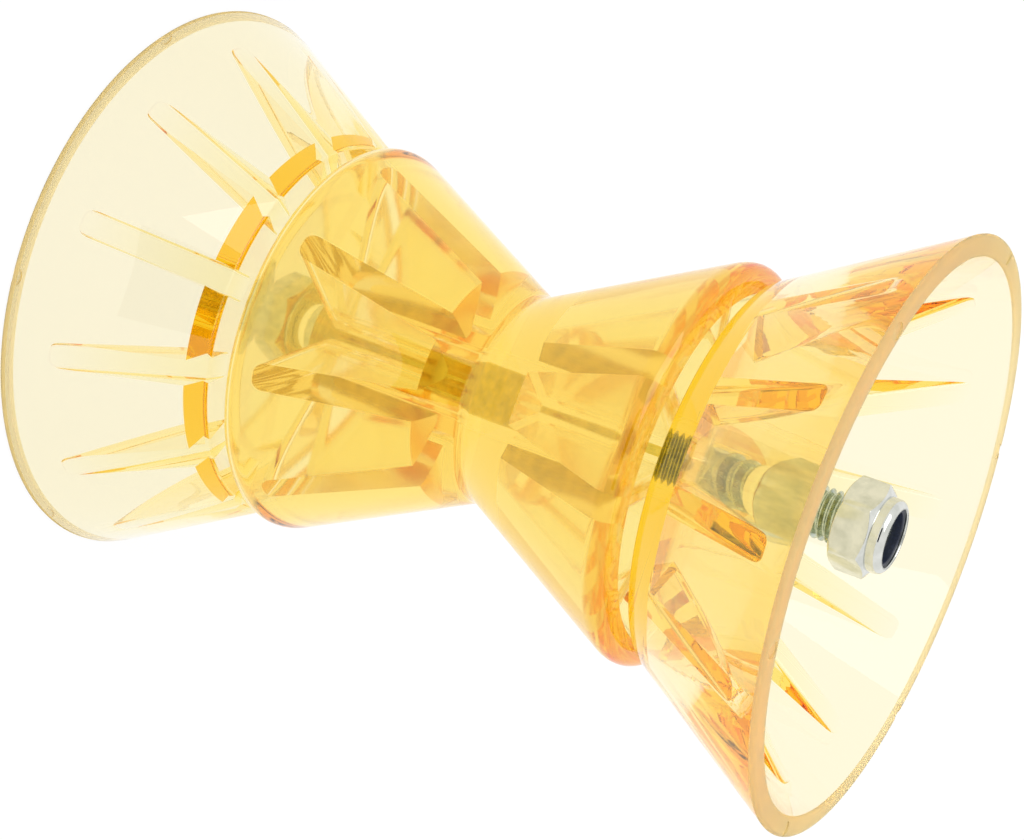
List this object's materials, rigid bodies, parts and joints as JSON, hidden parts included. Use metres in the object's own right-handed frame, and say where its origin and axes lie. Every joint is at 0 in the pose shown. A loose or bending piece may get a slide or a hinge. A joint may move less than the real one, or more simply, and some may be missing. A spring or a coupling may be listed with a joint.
{
  "type": "boat trailer roller",
  "caption": "Hourglass boat trailer roller with bell-shaped ends: ribbed clear amber mouldings that turn freely on a through bolt, held by a lock nut.",
  "frame": {"origin": "centre of the lower bell's rim plane, on the bolt's axis", "axes": "+Z along the bolt's axis from its head towards the lock nut; +X and +Y across it"},
  "size_m": [0.1369, 0.1369, 0.1928],
  "materials": {
    "clear_amber": "clear cast polyurethane, glossy",
    "zinc_steel": "bright zinc plated",
    "blue_nylon": "moulded nylon"
  },
  "bodies": {
    "bolt": {"hex_bolt": "zinc_steel", "plain_hex_nut": "zinc_steel", "lock_nut_body": "zinc_steel", "nylon_insert_ring": "blue_nylon"},
    "spool": {"spool_roller": "clear_amber"},
    "lower_bell": {"lower_end_bell": "clear_amber"},
    "upper_bell": {"upper_end_bell": "clear_amber"}
  },
  "joints": [
    {"name": "spool_spin", "type": "hinge", "parent": "bolt", "child": "spool", "pos_m": [0, 0, 0.0964], "axis": [0, 0, 1], "continuous": true},
    {"name": "lower_bell_spin", "type": "hinge", "parent": "bolt", "child": "lower_bell", "pos_m": [0, 0, 0.0378], "axis": [0, 0, 1], "continuous": true},
    {"name": "upper_bell_spin", "type": "hinge", "parent": "bolt", "child": "upper_bell", "pos_m": [0, 0, 0.155], "axis": [0, 0, 1], "continuous": true}
  ]
}
